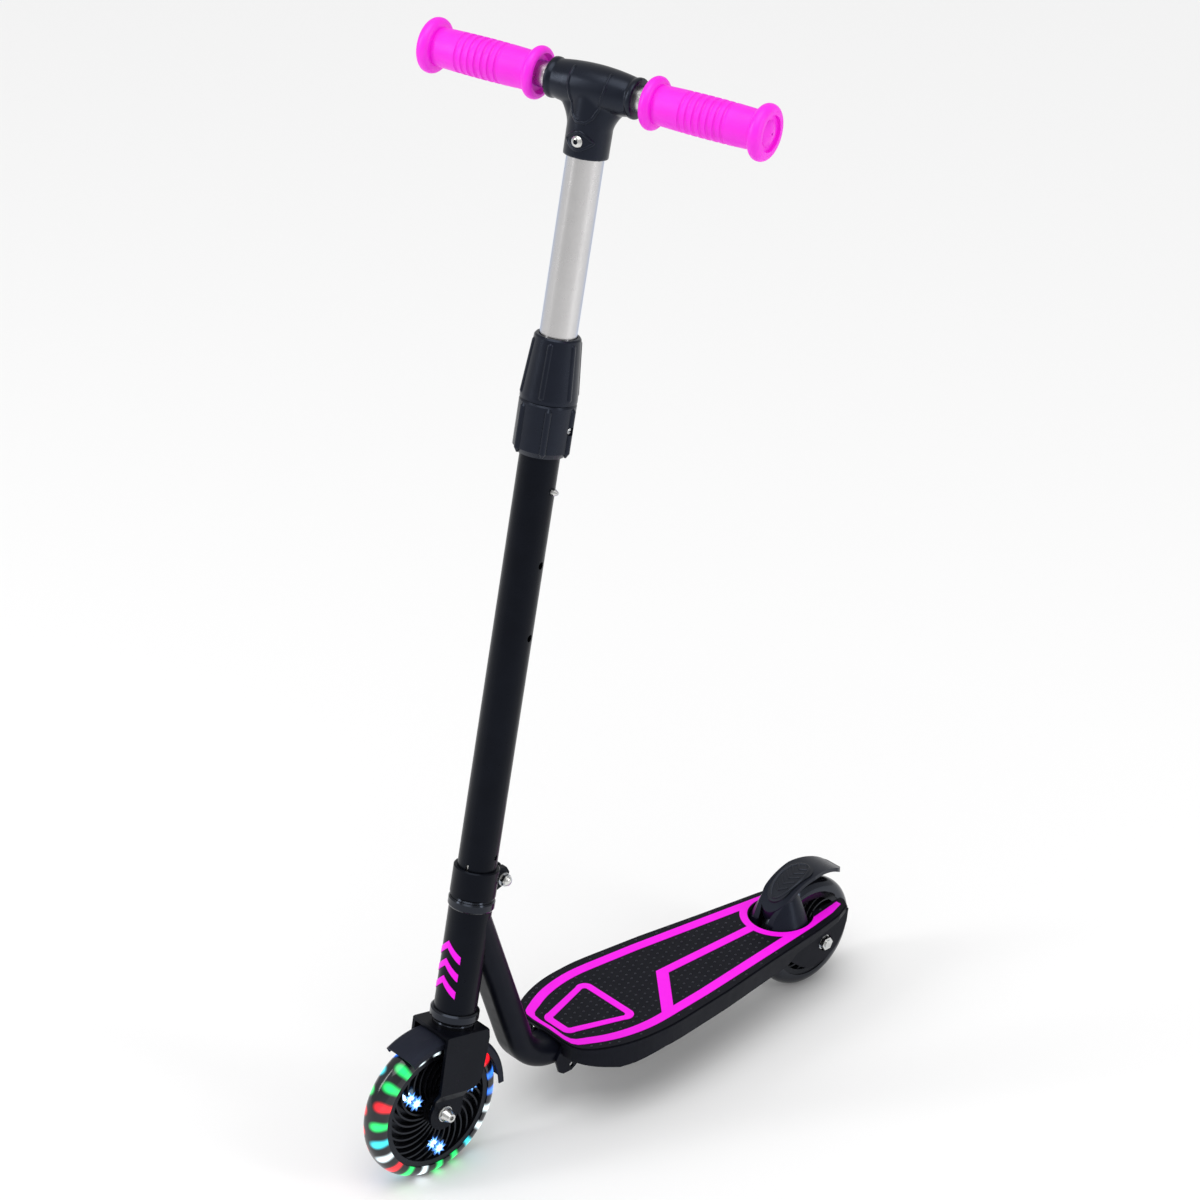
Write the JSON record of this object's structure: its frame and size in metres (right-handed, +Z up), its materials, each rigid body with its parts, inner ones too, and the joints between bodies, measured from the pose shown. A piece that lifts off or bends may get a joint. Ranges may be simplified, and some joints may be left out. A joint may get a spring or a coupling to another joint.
{
  "type": "kick scooter",
  "caption": "Child's kick scooter with a telescoping T-bar, twist lock, snap-button height setting, light-up front wheel, low footboard and a sprung foot brake over the rear wheel.",
  "frame": {"origin": "on the ground, centre of the bounding box's base, between the two wheels' contact points", "axes": "+Z up, -Y forward in the direction of travel, +X to the rider's left"},
  "size_m": [0.3208, 0.596, 1.0119],
  "materials": {
    "black_powder_coat": "satin powder coat",
    "charcoal_paint": "satin powder coat",
    "black_plastic": "satin moulded",
    "headset_black": "semi-gloss",
    "deck_plastic": "fine stud texture",
    "magenta_inlay": "satin",
    "magenta_grip": "soft satin",
    "satin_alloy": "satin anodised",
    "zinc_steel": "zinc plated",
    "pale_nylon": "moulded",
    "clear_urethane": "clear glossy",
    "light_lens": "frosted clear",
    "smoke_urethane": "glossy",
    "black_rubber": "ribbed"
  },
  "bodies": {
    "frame": {"head_tube": "black_powder_coat", "lower_head_cup": "headset_black", "upper_head_cup": "headset_black", "lower_bearing": "zinc_steel", "upper_bearing": "zinc_steel", "neck_tube": "charcoal_paint", "keel_tube": "black_powder_coat", "keel_cross_bars": "black_powder_coat", "neck_lugs": "charcoal_paint", "rear_bracket": "black_powder_coat", "deck_shell": "deck_plastic", "deck_inlay": "magenta_inlay", "deck_screws": "zinc_steel", "rear_axle": "zinc_steel", "rear_axle_nuts": "zinc_steel", "rear_spacers": "zinc_steel", "brake_pin": "zinc_steel", "brake_spring": "zinc_steel", "head_emblem": "magenta_inlay"},
    "fork": {"fork_bracket": "black_powder_coat", "steerer_tube": "zinc_steel", "crown_race": "headset_black", "front_mudguard": "black_plastic", "mudguard_screws": "zinc_steel", "front_axle": "zinc_steel", "front_axle_nut": "zinc_steel", "front_spacers": "zinc_steel", "compression_ring": "headset_black", "clamp_collar": "black_powder_coat", "clamp_bolt": "zinc_steel", "clamp_nut": "zinc_steel"},
    "lower_stem": {"lower_stem_tube": "black_powder_coat", "lock_base": "black_plastic", "lock_base_screw": "zinc_steel", "lock_collet": "pale_nylon"},
    "twist_nut": {"lock_nut": "black_plastic"},
    "handlebar": {"upper_stem_tube": "satin_alloy", "stem_tail_bush": "pale_nylon", "button_spring": "zinc_steel", "t_connector": "black_plastic", "t_bolt": "zinc_steel", "t_nut": "zinc_steel", "crossbar": "satin_alloy", "grip_left": "magenta_grip", "grip_right": "magenta_grip", "grip_plug_left": "magenta_grip", "grip_plug_right": "magenta_grip"},
    "button": {"height_button": "zinc_steel"},
    "front_wheel": {"front_tyre": "clear_urethane", "front_hub": "black_plastic", "front_bearings": "zinc_steel", "front_bearing_sleeve": "satin_alloy", "front_light_ring": "light_lens", "front_hub_lights": "light_lens"},
    "rear_wheel": {"rear_tyre": "smoke_urethane", "rear_hub": "black_plastic", "rear_bearings": "zinc_steel", "rear_bearing_sleeve": "satin_alloy"},
    "brake": {"brake_fender": "black_plastic", "brake_tread": "black_rubber"}
  },
  "joints": [
    {"name": "steering", "type": "hinge", "parent": "frame", "child": "fork", "pos_m": [0, -0.22749, 0], "axis": [0, 0.2011, 0.9796], "range_deg": [-90, 90]},
    {"name": "bar_align", "type": "hinge", "parent": "fork", "child": "lower_stem", "pos_m": [0, -0.22749, 0], "axis": [0, 0.2011, 0.9796], "range_deg": [-25, 10]},
    {"name": "lock_turn", "type": "hinge", "parent": "lower_stem", "child": "twist_nut", "pos_m": [0, -0.22749, 0], "axis": [0, 0.2011, 0.9796], "range_deg": [0, 180]},
    {"name": "bar_height", "type": "slide", "parent": "lower_stem", "child": "handlebar", "axis": [0, 0.2011, 0.9796], "range_m": [-0.133, 0], "deforming": ["height_button"]},
    {"name": "button_press", "type": "slide", "parent": "handlebar", "child": "button", "axis": [-0.9511, -0.3027, 0.0621], "range_m": [0, 0.005], "stiffness_N_per_m": 400, "deforming": ["button_spring"]},
    {"name": "front_wheel_spin", "type": "hinge", "parent": "fork", "child": "front_wheel", "pos_m": [0, -0.227, 0.071], "axis": [1, 0, 0], "continuous": true},
    {"name": "rear_wheel_spin", "type": "hinge", "parent": "frame", "child": "rear_wheel", "pos_m": [0, 0.241, 0.057], "axis": [1, 0, 0], "continuous": true},
    {"name": "brake_pedal", "type": "hinge", "parent": "frame", "child": "brake", "pos_m": [0, 0.17651, 0.0765], "axis": [-1, 0, 0], "range_deg": [0, 4.2], "stiffness_Nm_per_rad": 12}
  ]
}
